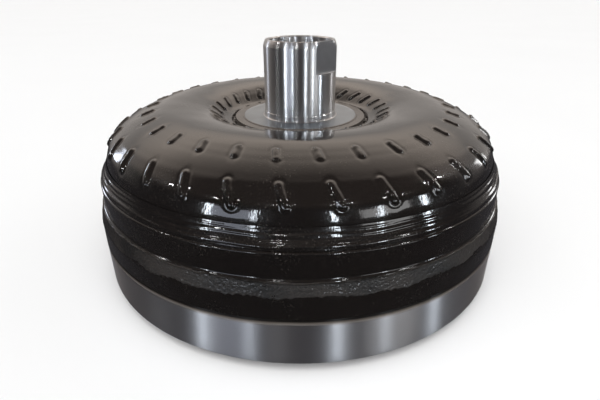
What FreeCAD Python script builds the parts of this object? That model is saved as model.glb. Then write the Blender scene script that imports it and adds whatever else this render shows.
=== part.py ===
import FreeCAD, Part
import math
import os

# Lock-up torque converter, standing on its front cover with the pump hub up.
# Units are millimetres. The axis of rotation is Z. Z = 0 is the face of the mounting pads.
# Azimuths are in degrees from -Y towards +X, which is a positive turn about Z.

os.makedirs("parts", exist_ok=True)

V = FreeCAD.Vector
AXIS = V(0, 0, 1)
ORIGIN = V(0, 0, 0)

# Front cover
COVER_R = 155.0
COVER_BOTTOM = 6.0
COVER_FLOOR = 15.0
COVER_EDGE = 0.8
TAPER_START = 50.5
TAPER_TOP = 61.3
TAPER_R = 152.1
COLLAR_R = 151.0
COLLAR_TOP = 78.4
SKIRT_BORE_R = 145.05
CLUTCH_BORE_R = 140.0
CLUTCH_BORE_TOP = 48.0
CONE_TOP = 56.0
BOSS_R = 31.0
BOSS_TOP = 26.4
SHAFT_POCKET_R = 16.5
SHAFT_POCKET_FLOOR = 17.5

# Front face: pilot and mounting pads
PILOT_R = 20.5
PILOT_END = 0.6
PILOT_CHAMFER = 1.2
PAD_COUNT = 6
PAD_PCD = 248.0
PAD_R = 14.0
PAD_HOLE_R = 5.0
PAD_HOLE_TOP = 12.0
PAD_FIRST_AZIMUTH = 30.0

# Impeller shell
SHELL_T = 4.0
SHELL_EYE_R = 53.4
SHELL_EYE_TOP = 107.6
SKIRT_R = 145.0
SKIRT_TOP = 88.0
SKIRT_BOTTOM = 72.0
PARTING_Z = 82.0
PARTING_GAP = 1.2

# Blade tabs pressed through the impeller shell
TAB_COUNT = 31
TAB_PHASE = -6.62
TAB_STEP = 360.0 / TAB_COUNT
BUMP_ROUND_R = 3.2
BUMP_RISE = 1.1
INNER_ROUND_R = 2.6
INNER_RISE = 0.9

# Pump hub
HUB_R = 27.06
HUB_BORE_R = 22.9
HUB_TIP = 164.7
HUB_TIP_R = 25.36
HUB_TIP_LENGTH = 4.3
HUB_TIP_CROWN = 0.15
HUB_COLLAR_R = 27.45
HUB_COLLAR_TOP = 113.4
FLANGE_TOP = 109.5
FLANGE_R = 50.1
FLANGE_RIM_R = 44.5
SEAT_R = 46.0
LAP_R = 56.5
LAP_BOTTOM = 98.5
LAP_TOP = 103.6
FLAT_DISTANCE = 24.2
FLAT_AZIMUTH = 51.0
FLAT_BOTTOM = 143.0

# Thrust needle bearings: race, running gap, needle, running gap, race
RACE_T = 0.8
NEEDLE_R = 1.0
NEEDLE_GAP = 0.02
CAGE_T = 1.2
BEARING_T = 2 * RACE_T + 2 * NEEDLE_GAP + 2 * NEEDLE_R

# Stack of turning parts on the axis
TURBINE_HUB_BOTTOM = BOSS_TOP + BEARING_T
TURBINE_HUB_TOP = 69.0
STATOR_BOTTOM = TURBINE_HUB_TOP + BEARING_T
STATOR_TOP = 91.0
PUMP_SEAT_Z = STATOR_TOP + BEARING_T

# Lock-up clutch
PISTON_BOTTOM = 16.6
PISTON_INNER_TOP = 20.6
PISTON_FACE = 23.0
PISTON_R = 139.7
PISTON_BORE_R = 31.3
PISTON_SLEEVE_R = 36.0
PISTON_SLEEVE_TOP = 25.0
OUTER_SEAL_R = 137.2
OUTER_SEAL_Z = (18.5, 20.7)
INNER_SEAL_R = 33.4
INNER_SEAL_Z = (19.1, 21.1)
SEAL_PLAY = 0.1
CLUTCH_GAP = 0.4
FRICTION_T = 2.2
FACING_T = 0.5
STEEL_T = 2.2
BACKING_T = 4.0
FRICTION_R = 138.0
STEEL_BORE_R = 114.0
STEEL_R = 139.4
LUG_R = 144.4
LUG_WIDTH = 12.0
LUG_COUNT = 12
KEYWAY_R = 145.0
KEYWAY_WIDTH = 12.8
KEYWAY_BOTTOM = 25.4
RING_GROOVE_R = 142.4
RING_GROOVE_Z = (40.4, 42.7)
RING_R = (135.0, 142.2)
RING_Z = (40.5, 42.5)

# Clutch drum and damper
DRUM_R = (106.0, 109.0)
DRUM_BOTTOM = 23.2
DRUM_RIB_R = 111.5
DRUM_RIBS = 36
DRUM_RIB_WIDTH = 9.0
RIB_PLAY = 0.4
DAMPER_Z = 35.25
FLANGE_PLATE_T = 2.5
SIDE_PLATE_T = 1.6
SIDE_PLATE_OFFSET = 5.05
SIDE_PLATE_R = (58.0, 103.0)
DAMPER_FLANGE_R = 94.0
SPRING_COUNT = 6
SPRING_PCR = 80.0
SPRING_R = 8.0
SPRING_WIRE_R = 1.6
SPRING_LENGTH = 44.0
SPRING_TURNS = 7
WINDOW_PLAY = 0.3
SPACER_PCR = 99.0
SPACER_R = 4.0
SPACER_RIVET_R = 2.5

# Turbine
TURBINE_T = 2.0
TURBINE_LIP_R = 41.2
TURBINE_LIP_Z = 59.0
TURBINE_LIP_END_R = 58.0
TURBINE_BORE_R = 15.0
TURBINE_SPLINE_R = 16.2
TURBINE_SPLINES = 27
TURBINE_NECK_R = 24.0
TURBINE_FLANGE_R = 57.0
TURBINE_FLANGE_T = 4.0
TURBINE_BOSS_R = 41.0
LOWER_FLANGE_R = 44.0
LOWER_FLANGE_TOP = 34.0
TURBINE_BLADES = 29
RIVET_PCR = 49.0
RIVET_COUNT = 12
RIVET_R = 2.4
LOWER_RIVET_PCR = 36.0
LOWER_RIVET_COUNT = 8
LOWER_RIVET_R = 2.8

# Core rings of the fluid circuit: half ellipses in section
CORE_R = 101.0
CORE_HALF_WIDTH = 20.0
CORE_HEIGHT = 14.0
CORE_T = 1.5
BLADE_T = 1.0

# Stator and one-way clutch
STATOR_BORE_R = 44.0
STATOR_HUB_R = 50.0
STATOR_SHROUD_R = (76.0, 78.5)
STATOR_BLADES = 19
INNER_RACE_R = 29.0
INNER_SPLINE_R = (19.5, 21.0)
INNER_SPLINES = 30
RACE_LAND_R = 29.5
POCKET_R = (35.93, 36.7)
POCKET_SPAN = 23.0
ROLLER_COUNT = 12
ROLLER_R = 3.42
ROLLER_PCR = 32.46
CAP_T = 1.5
CAP_BORE_R = 22.5


def at(radius, azimuth, z):
    turn = math.radians(azimuth)
    return V(radius * math.sin(turn), -radius * math.cos(turn), z)


def save(node, shape):
    shape.exportStep("parts/" + node + ".step")


def turned_about_axis(shape, azimuth):
    copy = shape.copy()
    copy.rotate(ORIGIN, AXIS, azimuth)
    return copy


def pattern(shape, count, first=0.0):
    return [turned_about_axis(shape, first + 360.0 * i / count) for i in range(count)]


def line(a, b):
    return Part.makeLine(V(a[0], 0, a[1]), V(b[0], 0, b[1]))


def curve(points):
    spline = Part.BSplineCurve()
    spline.interpolate([V(r, 0, z) for r, z in points])
    return spline.toShape()


def lathe(edges):
    outline = Part.Wire(Part.__sortEdges__(edges))
    return Part.Face(outline).revolve(ORIGIN, AXIS, 360)


def lathe_points(points):
    closed = points + [points[0]]
    return lathe([line(closed[i], closed[i + 1]) for i in range(len(points))])


def disc(radius, z_low, z_high):
    return Part.makeCylinder(radius, z_high - z_low, V(0, 0, z_low))


def ring(r_in, r_out, z_low, z_high):
    return disc(r_out, z_low, z_high).cut(disc(r_in, z_low, z_high))


def bar(r_in, r_out, width, z_low, z_high):
    """Block lying along azimuth 0, from r_in to r_out."""
    return Part.makeBox(width, r_out - r_in, z_high - z_low, V(-width / 2, -r_out, z_low))


def post(radius, pcr, z_low, z_high):
    """Upright cylinder at azimuth 0."""
    return Part.makeCylinder(radius, z_high - z_low, V(0, -pcr, z_low))


def parallel(points, distance):
    """Outline moved square to itself, to the right of its direction."""
    moved = []
    for i, (r, z) in enumerate(points):
        r0, z0 = points[max(i - 1, 0)]
        r1, z1 = points[min(i + 1, len(points) - 1)]
        length = math.hypot(r1 - r0, z1 - z0)
        moved.append((r + distance * (z1 - z0) / length, z - distance * (r1 - r0) / length))
    return moved


def half_ellipse(z, width, height):
    """Solid of revolution whose section is the half ellipse standing on z."""
    outer = V(CORE_R + width, 0, z)
    inner = V(CORE_R - width, 0, z)
    crown = V(CORE_R, 0, z + height)
    ellipse = Part.Ellipse(outer, crown, V(CORE_R, 0, z))
    arc = Part.Arc(ellipse, 0, math.pi).toShape()
    return lathe([arc, Part.makeLine(inner, outer)])


def rivet(radius, head_r, head_t, pcr, z_low, z_high):
    """Round rivet at azimuth 0 that clamps from z_low to z_high."""
    shank = post(radius, pcr, z_low, z_high)
    lower = Part.makeCone(head_r * 0.7, head_r, head_t, V(0, -pcr, z_low - head_t))
    upper = Part.makeCone(head_r, head_r * 0.7, head_t, V(0, -pcr, z_high))
    return shank.fuse([lower, upper]).removeSplitter()


def spline_bore(body, r_tip, r_root, count, z_low, z_high):
    """Broaches trapezoidal spline grooves into a bore of radius r_tip."""
    half_root = math.pi * r_root / count * 0.36
    half_tip = math.pi * r_tip / count * 0.56
    inside = r_tip - 1.0
    outline = [
        V(-half_tip, -inside, z_low),
        V(half_tip, -inside, z_low),
        V(half_tip, -r_tip, z_low),
        V(half_root, -r_root, z_low),
        V(-half_root, -r_root, z_low),
        V(-half_tip, -r_tip, z_low),
    ]
    groove = Part.Face(Part.makePolygon(outline + [outline[0]])).extrude(V(0, 0, z_high - z_low))
    return body.cut(pattern(groove, count))


def blade_strip(points, thickness, z_low, z_high):
    """Upright curved sheet through the given (radius, azimuth) points."""
    centre = [at(r, azimuth, z_low) for r, azimuth in points]
    left = []
    right = []
    for i, point in enumerate(centre):
        along = centre[min(i + 1, len(centre) - 1)] - centre[max(i - 1, 0)]
        side = V(-along.y, along.x, 0)
        side.normalize()
        left.append(point + side * (thickness / 2))
        right.append(point - side * (thickness / 2))
    left_curve = Part.BSplineCurve()
    left_curve.interpolate(left)
    right_curve = Part.BSplineCurve()
    right_curve.interpolate(right)
    edges = [
        left_curve.toShape(),
        Part.makeLine(left[-1], right[-1]),
        right_curve.toShape(),
        Part.makeLine(right[0], left[0]),
    ]
    outline = Part.Wire(Part.__sortEdges__(edges))
    return Part.Face(outline).extrude(V(0, 0, z_high - z_low))


# ---------------------------------------------------------------- front cover
cover_outline = [
    (0, PILOT_END),
    (PILOT_R - PILOT_CHAMFER, PILOT_END),
    (PILOT_R, PILOT_END + PILOT_CHAMFER),
    (PILOT_R, COVER_BOTTOM),
    (COVER_R - COVER_EDGE, COVER_BOTTOM),
    (COVER_R, COVER_BOTTOM + COVER_EDGE),
    (COVER_R, TAPER_START),
    (TAPER_R, TAPER_TOP),
    (COLLAR_R + 0.4, TAPER_TOP + 0.5),
    (COLLAR_R, TAPER_TOP + 1.2),
    (COLLAR_R, COLLAR_TOP - 1.0),
    (COLLAR_R - 1.0, COLLAR_TOP),
    (SKIRT_BORE_R, COLLAR_TOP),
    (SKIRT_BORE_R, CONE_TOP),
    (CLUTCH_BORE_R, CLUTCH_BORE_TOP),
    (CLUTCH_BORE_R, COVER_FLOOR),
    (BOSS_R, COVER_FLOOR),
    (BOSS_R, BOSS_TOP),
    (SHAFT_POCKET_R, BOSS_TOP),
    (SHAFT_POCKET_R, SHAFT_POCKET_FLOOR),
    (0, SHAFT_POCKET_FLOOR),
]
cover = lathe_points(cover_outline)
keyway = bar(CLUTCH_BORE_R - 6.0, KEYWAY_R, KEYWAY_WIDTH, KEYWAY_BOTTOM, CONE_TOP + 1.0)
ring_groove = ring(CLUTCH_BORE_R - 4.0, RING_GROOVE_R, RING_GROOVE_Z[0], RING_GROOVE_Z[1])
tapped_hole = post(PAD_HOLE_R, PAD_PCD / 2, COVER_BOTTOM, PAD_HOLE_TOP)
cover = cover.cut(pattern(keyway, LUG_COUNT))
cover = cover.cut([ring_groove] + pattern(tapped_hole, PAD_COUNT, PAD_FIRST_AZIMUTH))
save("front_cover", cover)

# Threaded pads for the flexplate bolts, each with its weld fillet at the cover face
pad_outline = [
    (PAD_HOLE_R, 0),
    (PAD_R - 0.8, 0),
    (PAD_R, 0.8),
    (PAD_R, COVER_BOTTOM - 1.8),
    (PAD_R + 1.8, COVER_BOTTOM),
    (PAD_HOLE_R, COVER_BOTTOM),
]
pad = lathe_points(pad_outline)
pad.translate(V(0, -PAD_PCD / 2, 0))
save("mounting_pads", Part.makeCompound(pattern(pad, PAD_COUNT, PAD_FIRST_AZIMUTH)))

# Balance weight spot-welded under the rim
weight_ring = ring(136.0, 147.0, COVER_BOTTOM - 2.5, COVER_BOTTOM)
weight = weight_ring.common(bar(120.0, 150.0, 30.0, 0.0, COVER_BOTTOM))
save("balance_weight", turned_about_axis(weight, 180.0))

# ---------------------------------------------------------------- impeller
shell_outline = [
    (SHELL_EYE_R, SHELL_EYE_TOP),
    (56.2, 107.7),
    (58.8, 108.9),
    (62.0, 111.3),
    (66.0, 114.2),
    (70.0, 116.4),
    (75.0, 118.2),
    (82.0, 119.6),
    (90.0, 120.4),
    (97.0, 120.5),
    (104.0, 119.6),
    (113.4, 117.0),
    (119.8, 114.6),
    (126.4, 111.6),
    (130.4, 109.4),
    (133.4, 107.4),
    (136.2, 105.3),
    (138.6, 103.2),
    (140.5, 101.2),
    (142.0, 98.8),
    (143.0, 96.2),
    (143.9, 93.2),
    (144.6, 90.4),
    (SKIRT_R, SKIRT_TOP),
]
shell_inside = parallel(shell_outline, SHELL_T)
shell_inside[0] = (LAP_R + 0.1, LAP_TOP)
shell_inside[-1] = (SKIRT_R - SHELL_T, SKIRT_TOP)
shell = lathe([
    curve(shell_outline),
    line(shell_outline[-1], (SKIRT_R, SKIRT_BOTTOM)),
    line((SKIRT_R, SKIRT_BOTTOM), (SKIRT_R - SHELL_T, SKIRT_BOTTOM)),
    line((SKIRT_R - SHELL_T, SKIRT_BOTTOM), shell_inside[-1]),
    curve(shell_inside),
    line(shell_inside[0], (SHELL_EYE_R, LAP_TOP)),
    line((SHELL_EYE_R, LAP_TOP), shell_outline[0]),
])


def on_shell(radius, outline):
    """Height and unit normal (in the r, z plane) of an outline at a radius."""
    for (r0, z0), (r1, z1) in zip(outline, outline[1:]):
        if r0 <= radius <= r1:
            share = (radius - r0) / (r1 - r0)
            length = math.hypot(r1 - r0, z1 - z0)
            return z0 + share * (z1 - z0), -(z1 - z0) / length, (r1 - r0) / length
    raise ValueError("radius is off the outline")


def shell_point(radius, azimuth, depth):
    """Point sunk below the outer face of the impeller shell."""
    z, normal_r, normal_z = on_shell(radius, shell_outline)
    return at(radius - depth * normal_r, azimuth, z - depth * normal_z)


def bead(ends, round_r, depth):
    """Round-ended bead that follows the shell between two (radius, azimuth) ends."""
    (r0, a0), (r1, a1) = ends
    first = shell_point(r0, a0, depth)
    last = shell_point(r1, a1, depth)
    middle = shell_point((r0 + r1) / 2, (a0 + a1) / 2, depth)
    path = Part.Arc(first, middle, last)
    direction = path.tangent(path.FirstParameter)[0]
    section = Part.Face(Part.Wire(Part.Circle(first, direction, round_r).toShape()))
    body = Part.Wire(path.toShape()).makePipe(section)
    return body.fuse([Part.makeSphere(round_r, first), Part.makeSphere(round_r, last)])


# Each blade is held by three tabs, which raise three beads on the outside
BEAD_SINK = BUMP_ROUND_R - BUMP_RISE
middle_bead = bead([(109.3, -0.2), (117.3, 0.3)], BUMP_ROUND_R, BEAD_SINK)
outer_bead = bead([(133.0, 2.0), (141.6, 3.6)], BUMP_ROUND_R, BEAD_SINK)
inner_bead = bead([(60.6, 1.6), (68.8, -1.3)], INNER_ROUND_R, INNER_ROUND_R - INNER_RISE)
BEAD_ROOM_BELOW = 2.5
BEAD_ROOM_ABOVE = 6.0
low_side = parallel(shell_outline[:-1], BEAD_ROOM_BELOW)
high_side = parallel(shell_outline[:-1], -BEAD_ROOM_ABOVE)
bead_space = lathe([
    curve(high_side),
    line(high_side[0], low_side[0]),
    curve(low_side),
    line(high_side[-1], low_side[-1]),
])
beads = []
for one_bead in (inner_bead, middle_bead, outer_bead):
    beads += pattern(one_bead.common(bead_space), TAB_COUNT, TAB_PHASE)
save("impeller_shell", shell.fuse(beads))

# Weld that joins the shell to the front cover
closure_outline = [
    (COLLAR_R - 1.0, COLLAR_TOP),
    (150.2, 79.4),
    (149.8, 81.0),
    (148.9, 82.4),
    (147.9, 83.6),
    (147.3, 85.0),
    (146.6, 86.5),
    (145.8, 88.2),
    (145.06, 90.0),
]
closure_weld = lathe([
    curve(closure_outline),
    line(closure_outline[-1], (SKIRT_R + 0.02, 88.6)),
    line((SKIRT_R + 0.02, 88.6), (SKIRT_R + 0.02, COLLAR_TOP)),
    line((SKIRT_R + 0.02, COLLAR_TOP), closure_outline[0]),
])
save("closure_weld", closure_weld)

# Core ring and blades of the impeller
impeller_edge = PARTING_Z + PARTING_GAP
impeller_core_filled = half_ellipse(impeller_edge, CORE_HALF_WIDTH, CORE_HEIGHT)
core_hollow = half_ellipse(impeller_edge, CORE_HALF_WIDTH - CORE_T, CORE_HEIGHT - CORE_T)
save("impeller_core", impeller_core_filled.cut(core_hollow))

throat = [(61.5, 102.4), (81.5, 88.0), (81.5, impeller_edge)]
rim = (SKIRT_R - SHELL_T, impeller_edge)
inside_from_throat = [point for point in shell_inside if point[0] > 61.5]
impeller_channel = lathe([
    line(throat[0], throat[1]),
    line(throat[1], throat[2]),
    line(throat[2], rim),
    line(rim, inside_from_throat[-1]),
    curve(inside_from_throat),
    line(inside_from_throat[0], throat[0]),
])
impeller_blade_line = [
    (60.0, 1.6), (66.0, -0.6), (72.0, -1.6), (85.0, -1.4), (100.0, -0.7),
    (113.2, 0.0), (125.0, 1.0), (131.0, 1.7), (137.0, 2.7), (142.5, 3.8),
]
impeller_strip = blade_strip(impeller_blade_line, BLADE_T, impeller_edge, SHELL_EYE_TOP + 10.0)
impeller_blade = impeller_channel.cut(impeller_core_filled).common(impeller_strip)
save("impeller_blades", Part.makeCompound(pattern(impeller_blade, TAB_COUNT, TAB_PHASE)))

# ---------------------------------------------------------------- pump hub
tip_start = (HUB_R, HUB_TIP - HUB_TIP_LENGTH)
tip_end = (HUB_TIP_R, HUB_TIP)
hub_outline = [
    (HUB_BORE_R, PUMP_SEAT_Z),
    (SEAT_R, PUMP_SEAT_Z),
    (SEAT_R, LAP_BOTTOM),
    (LAP_R, LAP_BOTTOM),
    (LAP_R, LAP_TOP),
    (FLANGE_R, LAP_TOP),
    (FLANGE_R, FLANGE_TOP - 0.6),
    (FLANGE_R - 0.4, FLANGE_TOP - 0.2),
    (FLANGE_RIM_R, FLANGE_TOP - 0.2),
    (FLANGE_RIM_R, FLANGE_TOP + 0.35),
    (FLANGE_RIM_R - 1.1, FLANGE_TOP + 0.35),
    (FLANGE_RIM_R - 1.5, FLANGE_TOP),
    (HUB_COLLAR_R + 1.2, FLANGE_TOP),
    (HUB_COLLAR_R + 0.35, FLANGE_TOP + 0.35),
    (HUB_COLLAR_R, FLANGE_TOP + 1.2),
    (HUB_COLLAR_R, HUB_COLLAR_TOP),
    (HUB_R, HUB_COLLAR_TOP + 0.4),
    tip_start,
    tip_end,
    (HUB_BORE_R + 0.8, HUB_TIP),
    (HUB_BORE_R, HUB_TIP - 0.8),
]
tip_middle = ((HUB_R + HUB_TIP_R) / 2 + HUB_TIP_CROWN, HUB_TIP - HUB_TIP_LENGTH / 2)
next_corners = hub_outline[1:] + hub_outline[:1]
hub_edges = [line(a, b) for a, b in zip(hub_outline, next_corners) if a != tip_start]
lead_in = Part.Arc(*[V(r, 0, z) for r, z in (tip_start, tip_middle, tip_end)])
pump_hub = lathe(hub_edges + [lead_in.toShape()])
flat = bar(FLAT_DISTANCE, FLAT_DISTANCE + 10.0, 40.0, FLAT_BOTTOM, HUB_TIP + 5.0)
save("pump_hub", pump_hub.cut(pattern(flat, 2, FLAT_AZIMUTH)))

hub_weld_outline = [
    (FLANGE_R, LAP_TOP),
    (SHELL_EYE_R, LAP_TOP),
    (SHELL_EYE_R, LAP_TOP + 2.0),
    (SHELL_EYE_R - 1.6, LAP_TOP + 2.6),
    (FLANGE_R, LAP_TOP + 2.0),
]
save("hub_weld", lathe_points(hub_weld_outline))

# ---------------------------------------------------------------- thrust bearings


def thrust_bearing(name, z, r_in, r_out, needles):
    """Two races, a cage and radial needles, stacked up from z."""
    middle = z + BEARING_T / 2
    save(name + "_lower_race", ring(r_in, r_out, z, z + RACE_T))
    save(name + "_upper_race", ring(r_in, r_out, z + BEARING_T - RACE_T, z + BEARING_T))
    needle_in = r_in + 2.4
    needle_out = r_out - 2.4
    needle = Part.makeCylinder(NEEDLE_R, needle_out - needle_in, V(0, -needle_out, middle), V(0, 1, 0))
    window = bar(needle_in - 0.05, needle_out + 0.05, 2 * NEEDLE_R + 0.1, z, z + BEARING_T)
    cage = ring(r_in + 0.8, r_out - 0.8, middle - CAGE_T / 2, middle + CAGE_T / 2)
    save(name + "_cage", cage.cut(pattern(window, needles)))
    save(name + "_needles", Part.makeCompound(pattern(needle, needles)))


thrust_bearing("pump_bearing", STATOR_TOP, 26.0, 40.5, 26)
thrust_bearing("stator_bearing", TURBINE_HUB_TOP, 26.0, 40.5, 26)
thrust_bearing("cover_bearing", BOSS_TOP, 18.0, 30.5, 20)

# ---------------------------------------------------------------- lock-up clutch
piston_outline = [
    (PISTON_BORE_R, PISTON_BOTTOM),
    (PISTON_R, PISTON_BOTTOM),
    (PISTON_R, PISTON_FACE),
    (STEEL_BORE_R - 1.5, PISTON_FACE),
    (STEEL_BORE_R - 1.5, PISTON_INNER_TOP),
    (PISTON_SLEEVE_R, PISTON_INNER_TOP),
    (PISTON_SLEEVE_R, PISTON_SLEEVE_TOP),
    (PISTON_BORE_R, PISTON_SLEEVE_TOP),
]
outer_seal_groove = ring(
    OUTER_SEAL_R - SEAL_PLAY, PISTON_R + 1.0, OUTER_SEAL_Z[0] - SEAL_PLAY, OUTER_SEAL_Z[1] + SEAL_PLAY
)
inner_seal_groove = ring(
    PISTON_BORE_R - 1.0, INNER_SEAL_R + SEAL_PLAY, INNER_SEAL_Z[0] - SEAL_PLAY, INNER_SEAL_Z[1] + SEAL_PLAY
)
save("lockup_piston", lathe_points(piston_outline).cut([outer_seal_groove, inner_seal_groove]))
save("piston_outer_seal", ring(OUTER_SEAL_R, CLUTCH_BORE_R - 0.02, OUTER_SEAL_Z[0], OUTER_SEAL_Z[1]))
save("piston_inner_seal", ring(BOSS_R + 0.02, INNER_SEAL_R, INNER_SEAL_Z[0], INNER_SEAL_Z[1]))

drum_rib = bar(DRUM_R[1] - 1.0, DRUM_RIB_R, DRUM_RIB_WIDTH, DRUM_BOTTOM, DAMPER_Z)
rib_notch = bar(DRUM_R[1] - 1.0, DRUM_RIB_R + RIB_PLAY, DRUM_RIB_WIDTH + 2 * RIB_PLAY, 0, COLLAR_TOP)


def lugged_plate(z_low, z_high):
    plate = ring(STEEL_BORE_R, STEEL_R, z_low, z_high)
    one_lug = bar(STEEL_R - 2.0, LUG_R, LUG_WIDTH, z_low, z_high)
    return plate.fuse(pattern(one_lug, LUG_COUNT)).removeSplitter()


level = PISTON_FACE + CLUTCH_GAP
for number in (1, 2, 3):
    core = ring(DRUM_R[1] + 0.6, FRICTION_R, level + FACING_T, level + FRICTION_T - FACING_T)
    save("friction_disc_%d" % number, core.cut(pattern(rib_notch, DRUM_RIBS)))
    lower_facing = ring(STEEL_BORE_R + 0.5, FRICTION_R - 0.5, level, level + FACING_T)
    upper_facing = lower_facing.copy()
    upper_facing.translate(V(0, 0, FRICTION_T - FACING_T))
    save("friction_facings_%d" % number, Part.makeCompound([lower_facing, upper_facing]))
    level += FRICTION_T + CLUTCH_GAP
    if number < 3:
        save("steel_plate_%d" % number, lugged_plate(level, level + STEEL_T))
        level += STEEL_T + CLUTCH_GAP
save("backing_plate", lugged_plate(level, level + BACKING_T))

snap_ring = ring(RING_R[0], RING_R[1], RING_Z[0], RING_Z[1])
save("snap_ring", snap_ring.cut(bar(RING_R[0] - 5.0, RING_R[1] + 5.0, 24.0, RING_Z[0], RING_Z[1])))

# ---------------------------------------------------------------- damper
rear_plate_z = DAMPER_Z + SIDE_PLATE_OFFSET
front_plate_z = DAMPER_Z - SIDE_PLATE_OFFSET - SIDE_PLATE_T
drum_top = rear_plate_z + SIDE_PLATE_T
side_window = bar(
    SPRING_PCR - 6.6, SPRING_PCR + 6.6, SPRING_LENGTH + 2 * WINDOW_PLAY, front_plate_z - 1.0, drum_top + 1.0
)
flange_window = bar(
    SPRING_PCR - 9.0, SPRING_PCR + 9.0, SPRING_LENGTH + 2 * WINDOW_PLAY, front_plate_z, drum_top
)
spacer_hole = post(SPACER_RIVET_R, SPACER_PCR, front_plate_z - 1.0, drum_top + 1.0)
spacer_phase = 180.0 / SPRING_COUNT
side_openings = pattern(side_window, SPRING_COUNT) + pattern(spacer_hole, SPRING_COUNT, spacer_phase)

drum = ring(DRUM_R[0], DRUM_R[1], DRUM_BOTTOM, drum_top)
rear_plate = ring(SIDE_PLATE_R[0], DRUM_R[0] + 1.0, rear_plate_z, drum_top)
clutch_hub = drum.fuse([rear_plate] + pattern(drum_rib, DRUM_RIBS))
save("clutch_hub", clutch_hub.cut(side_openings).removeSplitter())
front_plate = ring(SIDE_PLATE_R[0], SIDE_PLATE_R[1], front_plate_z, front_plate_z + SIDE_PLATE_T)
save("damper_front_plate", front_plate.cut(side_openings))

spacer = post(SPACER_R, SPACER_PCR, front_plate_z + SIDE_PLATE_T, rear_plate_z)
through_rivet = rivet(SPACER_RIVET_R, SPACER_R, 1.4, SPACER_PCR, front_plate_z, drum_top)
stop_spacer = spacer.fuse(through_rivet)
save("damper_spacers", Part.makeCompound(pattern(stop_spacer, SPRING_COUNT, spacer_phase)))

flange_top = LOWER_FLANGE_TOP + FLANGE_PLATE_T
damper_flange = ring(TURBINE_NECK_R + 0.05, DAMPER_FLANGE_R, LOWER_FLANGE_TOP, flange_top)
lower_rivet_hole = post(LOWER_RIVET_R, LOWER_RIVET_PCR, TURBINE_HUB_BOTTOM, flange_top)
lower_rivet_holes = pattern(lower_rivet_hole, LOWER_RIVET_COUNT)
save("damper_flange", damper_flange.cut(pattern(flange_window, SPRING_COUNT) + lower_rivet_holes))
lower_rivet = rivet(LOWER_RIVET_R, 4.4, 1.5, LOWER_RIVET_PCR, TURBINE_HUB_BOTTOM, flange_top)
save("damper_flange_rivets", Part.makeCompound(pattern(lower_rivet, LOWER_RIVET_COUNT)))

coil_mean_r = SPRING_R - SPRING_WIRE_R
coil_height = SPRING_LENGTH - 2 * SPRING_WIRE_R
helix = Part.makeHelix(coil_height / SPRING_TURNS, coil_height, coil_mean_r)
wire_section = Part.Wire(Part.makeCircle(SPRING_WIRE_R, V(coil_mean_r, 0, 0), V(0, 1, 0)))
coil = Part.Wire(helix).makePipeShell([wire_section], True, True)
coil.translate(V(0, 0, -coil_height / 2))
coil.rotate(ORIGIN, V(0, 1, 0), 90)
coil.translate(V(0, -SPRING_PCR, DAMPER_Z))
save("damper_springs", Part.makeCompound(pattern(coil, SPRING_COUNT)))

# ---------------------------------------------------------------- turbine
turbine_hub_outline = [
    (TURBINE_BORE_R, TURBINE_HUB_BOTTOM),
    (LOWER_FLANGE_R, TURBINE_HUB_BOTTOM),
    (LOWER_FLANGE_R, LOWER_FLANGE_TOP),
    (TURBINE_NECK_R, LOWER_FLANGE_TOP),
    (TURBINE_NECK_R, TURBINE_LIP_Z - TURBINE_FLANGE_T),
    (TURBINE_FLANGE_R, TURBINE_LIP_Z - TURBINE_FLANGE_T),
    (TURBINE_FLANGE_R, TURBINE_LIP_Z),
    (TURBINE_BOSS_R, TURBINE_LIP_Z),
    (TURBINE_BOSS_R, TURBINE_HUB_TOP),
    (TURBINE_BORE_R, TURBINE_HUB_TOP),
]
rivet_hole = post(RIVET_R, RIVET_PCR, TURBINE_LIP_Z - TURBINE_FLANGE_T, TURBINE_LIP_Z + TURBINE_T)
rivet_holes = pattern(rivet_hole, RIVET_COUNT)
turbine_hub = lathe_points(turbine_hub_outline).cut(rivet_holes + lower_rivet_holes)
turbine_hub = spline_bore(
    turbine_hub, TURBINE_BORE_R, TURBINE_SPLINE_R, TURBINE_SPLINES, TURBINE_HUB_BOTTOM, TURBINE_HUB_TOP
)
save("turbine_hub", turbine_hub)
turbine_rivet = rivet(
    RIVET_R, 4.0, 1.5, RIVET_PCR, TURBINE_LIP_Z - TURBINE_FLANGE_T, TURBINE_LIP_Z + TURBINE_T
)
save("turbine_rivets", Part.makeCompound(pattern(turbine_rivet, RIVET_COUNT)))

turbine_edge = PARTING_Z - PARTING_GAP
turbine_outline = [
    (TURBINE_LIP_END_R, TURBINE_LIP_Z),
    (61.0, 58.5),
    (65.0, 57.1),
    (70.0, 54.5),
    (76.0, 51.1),
    (83.0, 48.2),
    (90.0, 46.6),
    (97.0, 46.0),
    (104.0, 46.5),
    (112.0, 48.4),
    (120.0, 51.8),
    (127.0, 56.2),
    (132.4, 61.2),
    (136.0, 66.2),
    (138.2, 71.4),
    (139.2, 76.2),
    (139.4, turbine_edge),
]
turbine_inside = parallel(turbine_outline, -TURBINE_T)
turbine_inside[0] = (TURBINE_LIP_END_R, TURBINE_LIP_Z + TURBINE_T)
turbine_inside[-1] = (139.4 - TURBINE_T, turbine_edge)
turbine_shell = lathe([
    line((TURBINE_LIP_R, TURBINE_LIP_Z), turbine_outline[0]),
    curve(turbine_outline),
    line(turbine_outline[-1], turbine_inside[-1]),
    curve(turbine_inside),
    line(turbine_inside[0], (TURBINE_LIP_R, TURBINE_LIP_Z + TURBINE_T)),
    line((TURBINE_LIP_R, TURBINE_LIP_Z + TURBINE_T), (TURBINE_LIP_R, TURBINE_LIP_Z)),
])
save("turbine_shell", turbine_shell.cut(rivet_holes))

turbine_core_filled = half_ellipse(turbine_edge, CORE_HALF_WIDTH, -CORE_HEIGHT)
turbine_hollow = half_ellipse(turbine_edge, CORE_HALF_WIDTH - CORE_T, CORE_T - CORE_HEIGHT)
save("turbine_core", turbine_core_filled.cut(turbine_hollow))

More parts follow.
